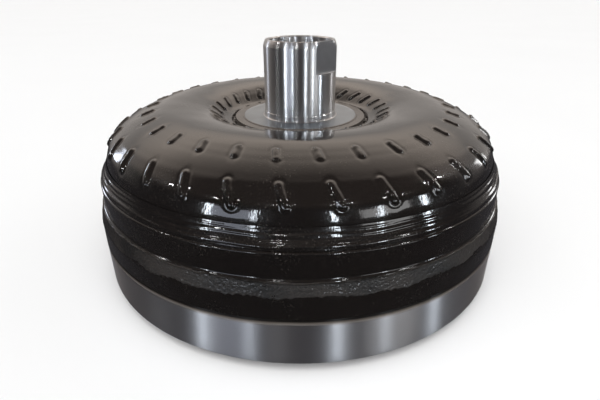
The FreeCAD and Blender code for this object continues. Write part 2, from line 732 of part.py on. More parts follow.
turbine_throat = [(62.5, 62.6), (81.5, 76.0), (81.5, turbine_edge)]
above_throat = [point for point in turbine_inside if point[0] > 62.5]
turbine_channel = lathe([
    line(turbine_throat[0], turbine_throat[1]),
    line(turbine_throat[1], turbine_throat[2]),
    line(turbine_throat[2], turbine_inside[-1]),
    curve(above_throat),
    line(above_throat[0], turbine_throat[0]),
])
turbine_blade_line = [
    (61.0, 13.0), (70.0, 6.5), (80.0, 2.4), (90.0, 0.4), (100.0, 0.0),
    (112.0, 1.2), (124.0, 4.0), (132.0, 7.0), (138.5, 10.5),
]
turbine_strip = blade_strip(turbine_blade_line, BLADE_T, DAMPER_Z, turbine_edge)
turbine_blade = turbine_channel.cut(turbine_core_filled).common(turbine_strip)
save("turbine_blades", Part.makeCompound(pattern(turbine_blade, TURBINE_BLADES)))

# ---------------------------------------------------------------- stator
stator_low = STATOR_BOTTOM + 0.2
stator_high = STATOR_TOP - 0.2
stator_hub = ring(STATOR_BORE_R, STATOR_HUB_R, stator_low, stator_high)
stator_shroud = ring(STATOR_SHROUD_R[0], STATOR_SHROUD_R[1], stator_low + 3.0, stator_high - 3.0)
vane_front = [(-1.2, 0.6), (0.6, 0.0), (2.6, 1.6), (4.2, 5.0), (4.4, 9.0), (2.8, 13.0), (-0.8, 16.6)]
vane_back = [(-0.8, 16.6), (-0.4, 12.4), (0.2, 9.0), (0.1, 5.6), (-0.9, 2.6), (-1.2, 0.6)]


def vane_edge(points, radius):
    spline = Part.BSplineCurve()
    spline.interpolate([V(x * 1.4, -radius, stator_low + 0.6 + z) for x, z in points])
    return spline.toShape()


vane_wire = Part.Wire([vane_edge(vane_front, STATOR_SHROUD_R[1]), vane_edge(vane_back, STATOR_SHROUD_R[1])])
vane = Part.Face(vane_wire).extrude(V(0, STATOR_SHROUD_R[1] - STATOR_BORE_R - 2.0, 0))
vane_space = ring(STATOR_HUB_R - 1.0, STATOR_SHROUD_R[0] + 1.0, stator_low, stator_high)
vane = vane.common(vane_space)
stator_wheel = stator_hub.fuse([stator_shroud] + pattern(vane, STATOR_BLADES))
save("stator_wheel", stator_wheel.removeSplitter())

cap_low = STATOR_BOTTOM + CAP_T
cap_high = STATOR_TOP - CAP_T
save("stator_lower_cap", ring(CAP_BORE_R, STATOR_BORE_R, STATOR_BOTTOM, cap_low))
save("stator_upper_cap", ring(CAP_BORE_R, STATOR_BORE_R, cap_high, STATOR_TOP))

# The pockets of the outer race narrow towards one end, where the rollers jam
outer_race = ring(RACE_LAND_R, STATOR_BORE_R, cap_low, cap_high)
steps = 6
ramp = []
for step in range(steps + 1):
    share = step / steps
    ramp.append(at(POCKET_R[0] + share * (POCKET_R[1] - POCKET_R[0]), -6.0 + share * POCKET_SPAN, cap_low))
mouth = [at(RACE_LAND_R - 2.0, POCKET_SPAN - 6.0, cap_low), at(RACE_LAND_R - 2.0, -6.0, cap_low)]
pocket_wire = Part.makePolygon(ramp + mouth + [ramp[0]])
pocket = Part.Face(pocket_wire).extrude(V(0, 0, cap_high - cap_low))
save("clutch_outer_race", outer_race.cut(pattern(pocket, ROLLER_COUNT)))

roller = post(ROLLER_R, ROLLER_PCR, cap_low + 0.3, cap_high - 0.3)
save("clutch_rollers", Part.makeCompound(pattern(roller, ROLLER_COUNT)))

# Accordion spring behind each roller, folded from strip
FOLD_COUNT = 7
FOLD_FIRST = 6.9
FOLD_STEP = 1.55
FOLD_R = (34.2, 31.0)
FOLD_HALF_T = 0.55
spring_low = cap_low + 2.0
spring_high = cap_high - 2.0
folds = [(FOLD_R[i % 2], FOLD_FIRST + i * FOLD_STEP) for i in range(FOLD_COUNT)]
fold_outside = [at(r + FOLD_HALF_T, azimuth, spring_low) for r, azimuth in folds]
fold_inside = [at(r - FOLD_HALF_T, azimuth, spring_low) for r, azimuth in reversed(folds)]
fold_wire = Part.makePolygon(fold_outside + fold_inside + [fold_outside[0]])
roller_spring = Part.Face(fold_wire).extrude(V(0, 0, spring_high - spring_low))
save("roller_springs", Part.makeCompound(pattern(roller_spring, ROLLER_COUNT)))

race_low = cap_low + 0.2
race_high = cap_high - 0.2
inner_race = ring(INNER_SPLINE_R[0], INNER_RACE_R, race_low, race_high)
inner_race = spline_bore(inner_race, INNER_SPLINE_R[0], INNER_SPLINE_R[1], INNER_SPLINES, race_low, race_high)
save("stator_inner_race", inner_race)
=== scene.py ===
import math

import bmesh
import bpy
import numpy as np
from mathutils import Matrix, Vector
from mathutils import noise as lump_noise


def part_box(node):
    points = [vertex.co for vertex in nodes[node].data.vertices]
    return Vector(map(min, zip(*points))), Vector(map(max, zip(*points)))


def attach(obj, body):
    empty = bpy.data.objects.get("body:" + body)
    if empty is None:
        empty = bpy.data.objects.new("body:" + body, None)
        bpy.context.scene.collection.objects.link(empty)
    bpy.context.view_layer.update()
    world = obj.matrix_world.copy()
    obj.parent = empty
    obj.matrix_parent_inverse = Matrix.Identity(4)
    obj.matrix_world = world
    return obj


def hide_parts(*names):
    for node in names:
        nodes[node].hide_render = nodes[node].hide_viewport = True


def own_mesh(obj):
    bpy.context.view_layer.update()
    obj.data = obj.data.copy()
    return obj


# Lock-up torque converter standing on its front cover, pump hub up, on a pale studio floor.
# Outlines are in millimetres: (radius, height), with height 0 at the face of the mounting pads.
# Azimuths are in degrees from -Y towards +X.

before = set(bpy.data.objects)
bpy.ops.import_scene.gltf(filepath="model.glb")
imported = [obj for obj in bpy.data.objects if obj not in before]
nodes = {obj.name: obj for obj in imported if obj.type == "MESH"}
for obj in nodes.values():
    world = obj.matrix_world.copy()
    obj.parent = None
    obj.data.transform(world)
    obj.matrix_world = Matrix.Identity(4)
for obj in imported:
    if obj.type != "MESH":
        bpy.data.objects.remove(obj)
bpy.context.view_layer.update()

MM = 0.001
COVER_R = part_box("front_cover")[1].x / MM
COVER_BOTTOM = 6.0
COVER_FLOOR = 15.0  # inside of the cover's face
PILOT_BOTTOM = 0.6
PILOT_R = 20.5
PILOT_CHAMFER = 1.2
BOSS_R = 31.0
BOSS_TOP = 26.4
SOCKET_R = 16.5
SOCKET_FLOOR = 17.5
AXIS_R = 0.5  # the dish closes with a small flat on the axis
PAINT_EDGE = 38.3
TAPER_BOTTOM = 50.5
TAPER_TOP_R = 152.1
CRUST_BOTTOM = 49.6
CRUST_TOP = 61.3
COLLAR_R = 151.0
COLLAR_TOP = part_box("front_cover")[1].z / MM
RIM_BORE_R = 145.05
BORE_R = 140.0
GROOVE_R = 142.4
GROOVE_BOTTOM = 40.4
GROOVE_TOP = 42.7
KEYWAY_R = 145.0
KEYWAY_WIDTH = 12.8
KEYWAY_BOTTOM = 25.4
KEYWAY_TOP = 56.0  # where the widening bore reaches RIM_BORE_R
KEYWAY_COUNT = 12
KEYWAY_HALF_TURN = math.degrees(math.asin(KEYWAY_WIDTH / 2 / KEYWAY_R))
PAD_PCR = 124.0
PAD_COUNT = 6
PAD_PHASE = 30.0
PAD_HOLE_R = 5.0
PAD_HOLE_TOP = 12.0
SHELL_T = 4.0
SKIRT_R = 145.0
SKIRT_BOTTOM = 72.0
WELD_BORE_R = 145.02
EYE_R = 53.4
EYE_BOTTOM = 103.6
TAB_COUNT = 31
TAB_PHASE = -6.62
HUB_R = 27.06
HUB_BOTTOM = 94.64
HUB_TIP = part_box("pump_hub")[1].z / MM
HUB_BORE_R = 22.9
SEAT_R = 46.0
SEAT_TOP = 98.5
LEDGE_R = 56.5
FLANGE_R = 50.1
FLANGE_TOP = 109.3
FACE_R = 44.5
FACE_LAND = 109.85
FACE_TOP = 109.5
FOOT_R = 27.45
FLAT_DISTANCE = 24.2
FLAT_AZIMUTH = 51.0
FLAT_BOTTOM = 143.0
SPRING_COUNT = 6
SPRING_PCR = 80.0
SPRING_Z = 35.25
SPRING_LENGTH = 44.0
SPRING_MEAN_R = 5.4
SPRING_WIRE_R = 1.6
SPRING_TURNS = 7


# ---------------------------------------------------------------- shapes
def ripple(azimuth, along, seed, turns, pitch, count=14):
    """Seamless waviness round the axis, about 1 high.

    turns is the range of waves in a full turn, and pitch that of wave lengths in mm on the outline.
    """
    draw = np.random.default_rng(seed)
    total = 0.0
    for _ in range(count):
        wave = draw.integers(turns[0], turns[1] + 1)
        slope = draw.choice([-1, 1]) * 2 * math.pi / draw.uniform(pitch[0], pitch[1])
        start = draw.uniform(0, 2 * math.pi)
        total = total + np.cos(wave * np.radians(azimuth) + slope * along + start)
    return total / math.sqrt(count / 2)


def round_ripple(azimuth, seed, turns):
    """Waviness that changes only round the axis, so its pitch doesn't matter."""
    return ripple(azimuth, 0.0, seed, turns, (9.0, 10.0))


def smooth_step(value, low, high):
    """Eases from 0 at low to 1 at high."""
    share = np.clip((value - low) / (high - low), 0, 1)
    return share * share * (3 - 2 * share)


def dense(outline, step):
    """Open outline with points added so that none are further apart than step."""
    points = [outline[0]]
    for (r0, z0), (r1, z1) in zip(outline, outline[1:]):
        count = max(1, math.ceil(math.hypot(r1 - r0, z1 - z0) / step))
        for i in range(1, count + 1):
            points.append((r0 + (r1 - r0) * i / count, z0 + (z1 - z0) * i / count))
    return points


def rounded(outline, radius, steps=3):
    """Open outline with each corner between its ends turned into a small curve."""
    points = [outline[0]]
    for before, corner, after in zip(outline, outline[1:], outline[2:]):
        a, c, b = Vector(before), Vector(corner), Vector(after)
        start = c + (a - c).normalized() * min(radius, (a - c).length * 0.45)
        end = c + (b - c).normalized() * min(radius, (b - c).length * 0.45)
        for i in range(steps + 1):
            t = i / steps
            points.append(tuple((1 - t) ** 2 * start + 2 * t * (1 - t) * c + t * t * end))
    return points + [outline[-1]]


def flowing(knots, spacing):
    """Smooth curve through knots. spacing gives the distance wanted between points at a radius."""
    fine = []
    last = len(knots) - 1
    for i in range(last):
        p0, p1, p2, p3 = (np.array(knots[min(max(i + k, 0), last)]) for k in (-1, 0, 1, 2))
        for t in np.linspace(0, 1, 60, endpoint=False):
            bend = (2 * p0 - 5 * p1 + 4 * p2 - p3) * t**2 + (3 * p1 - p0 - 3 * p2 + p3) * t**3
            fine.append(p1 + 0.5 * ((p2 - p0) * t + bend))
    fine = np.array(fine + [np.array(knots[-1])])
    length = np.hypot(*np.diff(fine, axis=0).T)
    share = np.concatenate([[0], np.cumsum(length / [spacing(r) for r in fine[1:, 0]])])
    wanted = np.linspace(0, share[-1], math.ceil(share[-1]) + 1)
    return list(zip(np.interp(wanted, share, fine[:, 0]), np.interp(wanted, share, fine[:, 1])))


def placed(radius, azimuth, height):
    """Points in metres from a radius and height in mm and an azimuth in degrees."""
    turn = np.radians(azimuth)
    x, y = radius * np.sin(turn), -radius * np.cos(turn)
    return np.stack([x, y, height + 0 * turn], axis=-1) * MM


def left_normals(outline):
    """Unit normals of an outline, on the left of its direction."""
    points = np.array(outline)
    along = np.gradient(points, axis=0)
    along /= np.linalg.norm(along, axis=1)[:, None] + 1e-12
    return np.stack([-along[:, 1], along[:, 0]], axis=1)


def finished(name, bm, sharp):
    """Object from a bmesh, with its faces turned outward and edges over the sharp angle creased."""
    bmesh.ops.remove_doubles(bm, verts=bm.verts, dist=1e-7)
    bmesh.ops.recalc_face_normals(bm, faces=bm.faces)
    mesh = bpy.data.meshes.new(name)
    bm.to_mesh(mesh)
    bm.free()
    mesh.polygons.foreach_set("use_smooth", [True] * len(mesh.polygons))
    mesh.set_sharp_from_angle(angle=math.radians(sharp))
    piece = bpy.data.objects.new(name, mesh)
    bpy.context.scene.collection.objects.link(piece)
    return piece


def lathe(name, points, sharp=30.0, ring=True):
    """Closed solid from a grid of points, with rows along the outline and columns round the axis.

    ring joins the last row to the first. Without it, each of the two rows is closed by a flat face.
    """
    rows, columns = points.shape[:2]
    bm = bmesh.new()
    verts = [bm.verts.new(p) for p in points.reshape(-1, 3)]
    for i in range(rows if ring else rows - 1):
        low, high = i * columns, (i + 1) % rows * columns
        for j in range(columns):
            k = (j + 1) % columns
            bm.faces.new((verts[low + j], verts[low + k], verts[high + k], verts[high + j]))
    if not ring:
        bm.faces.new(verts[:columns])
        bm.faces.new(verts[-columns:])
    return finished(name, bm, sharp)


def even_columns(count):
    return np.arange(count) * 360.0 / count


def grid(outline, azimuths, swell=None):
    """Points of an outline turned round the axis, moved by swell mm along its left normals."""
    radius, height = columns_of(outline)
    if swell is None:
        return placed(radius + 0 * azimuths, azimuths[None, :], height)
    normal = left_normals(outline)
    radius = radius + swell * normal[:, :1]
    return placed(radius, azimuths[None, :], height + swell * normal[:, 1:])


def columns_of(outline):
    """Radius and height of an outline, each as a column."""
    table = np.array(outline)
    return table[:, :1], table[:, 1:]


def keyed_columns(count):
    """Even columns, with extra ones just inside and outside both edges of every keyway."""
    edges = [
        360.0 * k / KEYWAY_COUNT + side * (KEYWAY_HALF_TURN + gap)
        for k in range(KEYWAY_COUNT)
        for side in (-1, 1)
        for gap in (-0.01, 0.01)
    ]

    def clear_of_edges(azimuth):
        return all(abs((azimuth - edge + 180) % 360 - 180) > 0.1 for edge in edges)

    even = [a for a in even_columns(count) if clear_of_edges(a)]
    return np.sort(np.array(even + edges) % 360)


def cut_keyways(points, outline, azimuths, rows):
    """Opens the keyways in the bore, on the given rows of the grid."""
    step = 360.0 / KEYWAY_COUNT
    keyed = np.abs((azimuths + step / 2) % step - step / 2) < KEYWAY_HALF_TURN
    for i in rows:
        deeper = placed(max(KEYWAY_R, outline[i][0]), azimuths, outline[i][1])
        points[i][keyed] = deeper[keyed]
    return points


def bored(piece, radius, pcr, count, first, bottom, top):
    """Cuts a ring of round holes into a piece, with the drills turned a little off its columns."""
    bm = bmesh.new()
    off_columns = Matrix.Rotation(math.radians(2.3), 4, "Z")
    for i in range(count):
        middle = Matrix.Translation(placed(pcr, first + 360.0 * i / count, (bottom + top) / 2))
        bmesh.ops.create_cone(
            bm,
            cap_ends=True,
            segments=48,
            radius1=radius * MM,
            radius2=radius * MM,
            depth=(top - bottom) * MM,
            matrix=middle @ off_columns,
        )
    drills = finished("drills", bm, 30.0)
    cut = piece.modifiers.new("holes", "BOOLEAN")
    cut.operation = "DIFFERENCE"
    cut.solver = "EXACT"
    cut.object = drills
    evaluated = piece.evaluated_get(bpy.context.evaluated_depsgraph_get())
    drilled = bpy.data.meshes.new_from_object(evaluated)
    piece.modifiers.clear()
    piece.data = drilled
    bpy.data.objects.remove(drills)
    return piece


def cover_dish():
    """Machined lower part of the front cover, up to the edge of the paint."""
    outside = [
        (AXIS_R, PILOT_BOTTOM),
        (PILOT_R - PILOT_CHAMFER, PILOT_BOTTOM),
        (PILOT_R, PILOT_BOTTOM + PILOT_CHAMFER),
        (PILOT_R, COVER_BOTTOM),
        (COVER_R, COVER_BOTTOM),
        (COVER_R, PAINT_EDGE),
        (BORE_R, PAINT_EDGE),
    ]
    inside = [
        (BORE_R, KEYWAY_BOTTOM),
        (BORE_R, KEYWAY_BOTTOM),
        (BORE_R, COVER_FLOOR),
        (BOSS_R, COVER_FLOOR),
        (BOSS_R, BOSS_TOP),
        (SOCKET_R, BOSS_TOP),
        (SOCKET_R, SOCKET_FLOOR),
        (AXIS_R, SOCKET_FLOOR),
    ]
    outer = dense(rounded(outside, 0.7), 6.0)
    whole = outer + inside
    azimuths = keyed_columns(360)
    # The keyways end in a step: the first row at KEYWAY_BOTTOM is keyed, and the second isn't.
    keyed_rows = [i for i, (r, z) in enumerate(whole) if r == BORE_R and z > KEYWAY_BOTTOM]
    keyed_rows.append(len(outer))
    points = cut_keyways(grid(whole, azimuths), whole, azimuths, keyed_rows)
    dish = lathe("cover_dish", points, ring=False)
    return bored(dish, PAD_HOLE_R, PAD_PCR, PAD_COUNT, PAD_PHASE, COVER_BOTTOM - 1.0, PAD_HOLE_TOP)


def cover_skirt():
    """Painted upper part of the front cover.

    Its outline runs upwards, so its normals point inwards and the waves in the paint are dips.
    """
    outside = [
        (COVER_R, PAINT_EDGE),
        (COVER_R, TAPER_BOTTOM),
        (TAPER_TOP_R, CRUST_TOP),
        (151.4, 61.8),
        (COLLAR_R, 62.5),
        (COLLAR_R, COLLAR_TOP - 1.0),
        (150.0, COLLAR_TOP),
        (RIM_BORE_R, COLLAR_TOP),
    ]
    inside = [
        (RIM_BORE_R, KEYWAY_TOP),
        (BORE_R, 48.0),
        (BORE_R, GROOVE_TOP),
        (GROOVE_R, GROOVE_TOP),
        (GROOVE_R, GROOVE_BOTTOM),
        (BORE_R, GROOVE_BOTTOM),
        (BORE_R, PAINT_EDGE),
    ]
    outer = dense(rounded(outside, 0.5), 1.6)
    whole = outer + inside
    azimuths = keyed_columns(720)
    radius, height = columns_of(whole)
    sags = ripple(azimuths[None, :], height, 11, (2, 40), (9.0, 40.0))
    dip = np.maximum(0.07 - 0.035 * sags, 0.0)
    painted = smooth_step(height, PAINT_EDGE + 0.2, PAINT_EDGE + 2.5)
    painted = painted * (radius > 150.5) * (height < COLLAR_TOP - 1.2)
    points = grid(whole, azimuths, dip * painted)
    keyed_rows = range(len(outer), len(whole))
    return lathe("cover_skirt", cut_keyways(points, whole, azimuths, keyed_rows), sharp=40.0)


def seam_crust():
    """Rough band on the taper of the front cover, where scale and spatter lie under the paint."""
    azimuths = even_columns(2200)
    height = np.linspace(CRUST_BOTTOM, CRUST_TOP, 38)[:, None]
    surface = np.interp(height, [TAPER_BOTTOM, CRUST_TOP], [COVER_R, TAPER_TOP_R])
    across = azimuths[None, :]
    places = (placed(surface + 0 * across, across, height) / MM).reshape(-1, 3)
    grain = np.array([lump_noise.fractal(Vector(place) * 0.8, 0.7, 2.0, 4) for place in places])
    grain = grain.reshape(len(height), len(azimuths))
    ragged = round_ripple(azimuths, 23, (3, 40)) + 0.25 * round_ripple(azimuths, 25, (60, 300))
    lower = 51.9 + 0.8 * ragged
    upper = CRUST_TOP - 0.4 + 0.2 * round_ripple(azimuths, 24, (5, 90))
    there = smooth_step(height, lower, lower + 0.9) * (1 - smooth_step(height, upper, upper + 0.35))
    lip = smooth_step(height, upper - 0.7, upper)
    thick = np.clip(0.20 + 0.16 * grain * (1 - lip), -0.1, 0.8) + 0.40 * lip
    sunk, back = 0.25, 1.5
    outer = np.minimum(surface - sunk + there * (sunk + thick), COVER_R - 0.02)
    inner = np.stack([surface[0] - back + 0 * azimuths, surface[-1] - back + 0 * azimuths])
    radius = np.concatenate([outer, inner[::-1]])
    heights = np.concatenate([height, height[[-1, 0]]])
    return lathe("seam_crust", placed(radius, across, heights), sharp=60.0)


def tab_swell(arc, radius, azimuths):
    """Height in mm of the beads that the blade tabs raise, at each point of the shell."""
    step = 360.0 / TAB_COUNT
    swell = np.zeros((len(radius), len(azimuths)))
    draw = np.random.default_rng(5)
    # Each ring: both ends of its first bead as (radius, azimuth from TAB_PHASE), height, half width.
    rings = [
        ((60.2, 1.7), (68.9, -1.4), 1.10, 2.1),
        ((108.4, -0.25), (118.2, 0.35), 1.15, 2.5),
        ((131.6, 1.8), (142.4, 3.8), 1.35, 2.6),
    ]
    for (r0, a0), (r1, a1), rise, half_width in rings:
        s0, s1 = np.interp([r0, r1], radius, arc)
        mean_r = (r0 + r1) / 2
        for k in range(TAB_COUNT):
            turn = draw.uniform(-0.35, 0.35)
            shift = draw.uniform(-0.3, 0.3)
            grow = draw.uniform(0.85, 1.12)
            centre = TAB_PHASE + k * step + (a0 + a1) / 2
            apart = (azimuths - centre + 180) % 360 - 180
            near = np.abs(apart) < step / 2
            across = np.radians(apart[near])[None, :] * mean_r
            half = np.radians(a1 - a0) / 2 * mean_r
            start = np.array([s0 + 1.6 + shift, -half - turn])
            end = np.array([s1 - 1.6 + shift, half + turn])
            along = end - start
            x, y = arc[:, None] - start[0], across - start[1]
            share = np.clip((x * along[0] + y * along[1]) / (along @ along), 0, 1)
            off = np.hypot(x - share * along[0], y - share * along[1])
            crest = 1 - smooth_step(off, 0.38 * half_width, 0.98 * half_width)
            trough = 0.10 * (1 - smooth_step(off, 0, 0.40 * half_width))
            trough = trough * (0.12 < share) * (share < 0.88)
            lumps = 1 + 0.07 * np.cos(share * 7 + draw.uniform(0, 6))
            moat = -0.20 * smooth_step(off, 0.85 * half_width, 1.15 * half_width)
            moat = moat * (1 - smooth_step(off, 1.15 * half_width, 1.9 * half_width))
            swell[:, near] += rise * grow * (crest * lumps - trough + moat)
    return swell


def impeller_shell():
    """Impeller shell with its blade-tab beads and the waves that pressing leaves."""
    knots = [
        (EYE_R, 107.6),
        (56.2, 107.7),
        (58.8, 108.9),
        (66.0, 114.2),
        (75.0, 118.2),
        (90.0, 120.4),
        (104.0, 119.6),
        (119.8, 114.6),
        (130.4, 109.4),
        (136.2, 105.3),
        (140.5, 101.2),
        (143.0, 96.2),
        (144.6, 90.4),
        (SKIRT_R, 88.0),
    ]

    def spacing(radius):
        """Close together where the beads are, and wide apart between them."""
        if 58.5 < radius < 71.0 or 106.5 < radius < 120.0:
            return 0.75
        if 129.5 < radius < 143.6:
            return 0.85
        return 2.4

    outer = flowing(knots, spacing)
    points = np.array(outer)
    skirt_inside = SKIRT_R - SHELL_T
    sunk = (points - SHELL_T * left_normals(outer))[::-5]
    inner = [tuple(p) for p in sunk if p[0] < skirt_inside - 0.05]
    inner = [(skirt_inside, SKIRT_BOTTOM)] + inner + [(56.6, EYE_BOTTOM), (EYE_R, EYE_BOTTOM)]
    whole = outer + [(SKIRT_R, SKIRT_BOTTOM)] + inner
    azimuths = even_columns(TAB_COUNT * 28)
    arc = np.concatenate([[0], np.cumsum(np.hypot(*np.diff(points, axis=0).T))])
    waves = ripple(azimuths[None, :], arc[:, None], 31, (2, 24), (14.0, 70.0)) * 0.035
    rings = 0.02 * np.cos(arc * 2 * math.pi / 6.5)[:, None]
    fade = smooth_step(arc, 0, 6) * (1 - smooth_step(arc, arc[-1] - 8, arc[-1] - 2))
    swell = np.zeros((len(whole), len(azimuths)))
    swell[: len(outer)] = tab_swell(arc, points[:, 0], azimuths) + (waves + rings) * fade[:, None]
    return lathe("impeller_dome", grid(whole, azimuths, swell), sharp=50.0)


def closure_weld():
    """Circumferential weld between cover and shell, laid in several passes.

    Its outline runs upwards, so its normals point inwards and a bead's height counts as negative.
    """
    knots = [
        (150.0, COLLAR_TOP),
        (150.2, 79.4),
        (149.8, 81.0),
        (148.9, 82.4),
        (147.9, 83.6),
        (147.3, 85.0),
        (146.6, 86.5),
        (145.8, 88.2),
        (145.06, 90.0),
    ]
    bead_width, pass_width = 12.9, 2.9
    outer = flowing(knots, lambda radius: 0.35)
    whole = outer + [(WELD_BORE_R, 88.6), (WELD_BORE_R, COLLAR_TOP)]
    azimuths = even_columns(1440)
    arc = np.linspace(0, 1, len(outer))[:, None] * bead_width
    across = azimuths[None, :]
    weave = 0.7 * round_ripple(across, 41, (2, 18))
    passes = 0.10 * np.cos(arc * 2 * math.pi / pass_width + weave)
    scale = ripple(across, arc, 42, (90, 200), (4.0, 9.0), 20) * 0.006
    drift = ripple(across, arc, 43, (3, 26), (1.8, 6.0), 20) * 0.035
    fade = smooth_step(arc, 0.2, 1.6) * (1 - smooth_step(arc, 11.0, 12.6))
    swell = np.zeros((len(whole), len(azimuths)))
    swell[: len(outer)] = (passes + scale + drift - 0.05) * fade
    return lathe("closure_weld_bead", grid(whole, azimuths, -swell), sharp=60.0)


def hub_weld():
    """Fillet weld in the groove between the hub flange and the shell's eye."""
    gap = 0.02
    inside_r, outside_r, bottom = FLANGE_R + gap, EYE_R - gap, EYE_BOTTOM + gap
    crest = dense([(outside_r, 105.6), (51.8, 106.2), (inside_r, 105.6)], 0.3)
    azimuths = even_columns(720)
    radius, height = columns_of([(inside_r, bottom), (outside_r, bottom)] + crest)
    wave = 0.25 * ripple(azimuths[None, :], radius, 51, (60, 150), (3.0, 9.0), 12) - 0.2
    height = height + wave * (height > 105.0)
    return lathe("hub_weld_bead", placed(radius + 0 * azimuths, azimuths[None, :], height), sharp=60.0)


def pump_hub():
    """Turned pump hub with two milled drive flats.

    Material slots: 0 ground tube, 1 satin flange, 2 painted rim, 3 milled flats.
    """
    outside = [
        (SEAT_R, HUB_BOTTOM),
        (SEAT_R, SEAT_TOP),
        (LEDGE_R, SEAT_TOP),
        (LEDGE_R, EYE_BOTTOM),
        (FLANGE_R, EYE_BOTTOM),
        (FLANGE_R, FLANGE_TOP),
        (FACE_R, FLANGE_TOP),
        (FACE_R, FACE_LAND),
        (43.2, FACE_LAND),
        (42.8, FACE_TOP),
        (28.8, FACE_TOP),
        (27.8, 109.8),
        (FOOT_R, 110.7),
        (FOOT_R, 113.4),
        (HUB_R, 113.8),
        (HUB_R, FLAT_BOTTOM),
    ]
    tip = [
        (HUB_R, FLAT_BOTTOM),
        (HUB_R, HUB_TIP - 4.3),
        (26.36, HUB_TIP - 2.1),
        (25.36, HUB_TIP),
        (23.7, HUB_TIP),
    ]
    bore = [(HUB_BORE_R, HUB_TIP - 0.8), (HUB_BORE_R, HUB_BOTTOM)]
    lower = dense(rounded(outside, 0.22), 4.0)
    upper = dense(rounded(tip, 0.25), 3.0)
    whole = lower + upper + bore
    half = math.degrees(math.acos(FLAT_DISTANCE / HUB_R))
    edges = [
        FLAT_AZIMUTH + turn + side * (half + gap)
        for turn in (0, 180)
        for side in (-1, 1)
        for gap in (0, 0.25)
    ]
    azimuths = np.sort(np.array(list(even_columns(360) + 0.37) + edges) % 360)
    radius, height = columns_of(whole)
    radius = radius + 0 * azimuths
    flat_r = FLAT_DISTANCE / np.cos(np.radians(from_flat(azimuths)))
    milled = np.zeros(len(whole), bool)
    milled[len(lower) : len(lower) + len(upper)] = True
    radius = np.where(milled[:, None], np.minimum(radius, flat_r), radius)
    hub = lathe("pump_hub_turned", placed(radius, azimuths[None, :], height), sharp=22.0)
    for face in hub.data.polygons:
        face.material_index = hub_slot(face.center / MM)
    return hub


def hub_slot(point):
    """Material slot of the hub's face at a point in mm."""
    radius = math.hypot(point.x, point.y)
    face_edge = 43.3
    if 28.7 < radius < face_edge and point.z > 105:
        return 1
    if radius > face_edge and 102 < point.z < 112:
        return 2
    turn = from_flat(math.degrees(math.atan2(point.x, -point.y)))
    off_flat = abs(radius * math.cos(math.radians(turn)) - FLAT_DISTANCE)
    return 3 if point.z > FLAT_BOTTOM and off_flat < 0.06 else 0


def from_flat(azimuth):
    """Azimuth measured from the middle of the nearer drive flat."""
    return (azimuth - FLAT_AZIMUTH + 90) % 180 - 90


def damper_spring(number):
    """Compression spring along a tangent of the damper, slim enough to clear the twisting plates."""
    turn = math.radians(360.0 * number / SPRING_COUNT)
    tangent = Vector((math.cos(turn), math.sin(turn), 0))
    radial = Vector((math.sin(turn), -math.cos(turn), 0))
    centre = radial * SPRING_PCR + Vector((0, 0, SPRING_Z))
    per_turn, round_wire = 28, 12
    total = (SPRING_TURNS + 2) * per_turn
    end_pitch = 1.2
    reach = SPRING_LENGTH - 2 * SPRING_WIRE_R - 2 * end_pitch
    rows = []
    for i in range(total + 1):
        spin = 2 * math.pi * i / per_turn
        share = min(max((i / per_turn - 1) / SPRING_TURNS, 0), 1)
        end_coil = (min(i / per_turn, 1) - 1 + max(i / per_turn - SPRING_TURNS - 1, 0)) * end_pitch
        out = radial * math.cos(spin) + Vector((0, 0, math.sin(spin)))
        middle = centre + tangent * (share * reach - reach / 2 + end_coil) + out * SPRING_MEAN_R
        for j in range(round_wire):
            lap = 2 * math.pi * j / round_wire
            wire = out * math.cos(lap) + tangent * math.sin(lap)
            rows.append(middle + wire * SPRING_WIRE_R)
    points = np.array([list(v) for v in rows]).reshape(total + 1, round_wire, 3) * MM
    spring = lathe("damper_spring_%d" % (number + 1), points, sharp=50.0, ring=False)
    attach(spring, "turbine")
    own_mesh(spring)
    return spring


# ---------------------------------------------------------------- materials
def connect(tree, node, inputs):
    """Sets inputs of a node, each given as a value or as the socket that feeds it."""
    for key, value in inputs.items():
        if isinstance(value, bpy.types.NodeSocket):
            tree.links.new(value, node.inputs[key])
        else:
            node.inputs[key].default_value = value


def add(tree, kind, inputs=(), **settings):
    """Adds a shader node with its inputs and settings."""
    new = tree.nodes.new("ShaderNode" + kind)
    for key, value in settings.items():
        setattr(new, key, value)
    connect(tree, new, dict(inputs))
    return new


def new_material(name):
    material = bpy.data.materials.new(name)
    material.use_nodes = True
    tree = material.node_tree
    tree.nodes.clear()
    shader = add(tree, "BsdfPrincipled")
    output = add(tree, "OutputMaterial")
    tree.links.new(shader.outputs["BSDF"], output.inputs["Surface"])
    return material, tree, shader


def local(tree):
    return add(tree, "TexCoord").outputs["Object"]


def stretched(tree, x, y, z):
    return add(tree, "Mapping", {"Vector": local(tree), "Scale": (x, y, z)}).outputs["Vector"]


def noise(tree, vector, scale, detail=3.0, rough=0.5):
    inputs = {"Vector": vector, "Scale": scale, "Detail": detail, "Roughness": rough}
    return add(tree, "TexNoise", inputs).outputs["Fac"]


def remap(tree, value, low, high, to_low=0.0, to_high=1.0):
    """Maps low..high to to_low..to_high, held at both ends."""
    limits = {"Value": value, "From Min": low, "From Max": high, "To Min": to_low, "To Max": to_high}
    return add(tree, "MapRange", limits).outputs["Result"]


def mixed(tree, factor, first, second):
    """Colour between two colours, each given as three numbers or as a socket."""
    colours = {
        key: value if isinstance(value, bpy.types.NodeSocket) else (*value, 1.0)
        for key, value in ((6, first), (7, second))
    }
    return add(tree, "Mix", {0: factor, **colours}, data_type="RGBA").outputs[2]


def maths(tree, operation, first, second):
    return add(tree, "Math", {0: first, 1: second}, operation=operation).outputs[0]


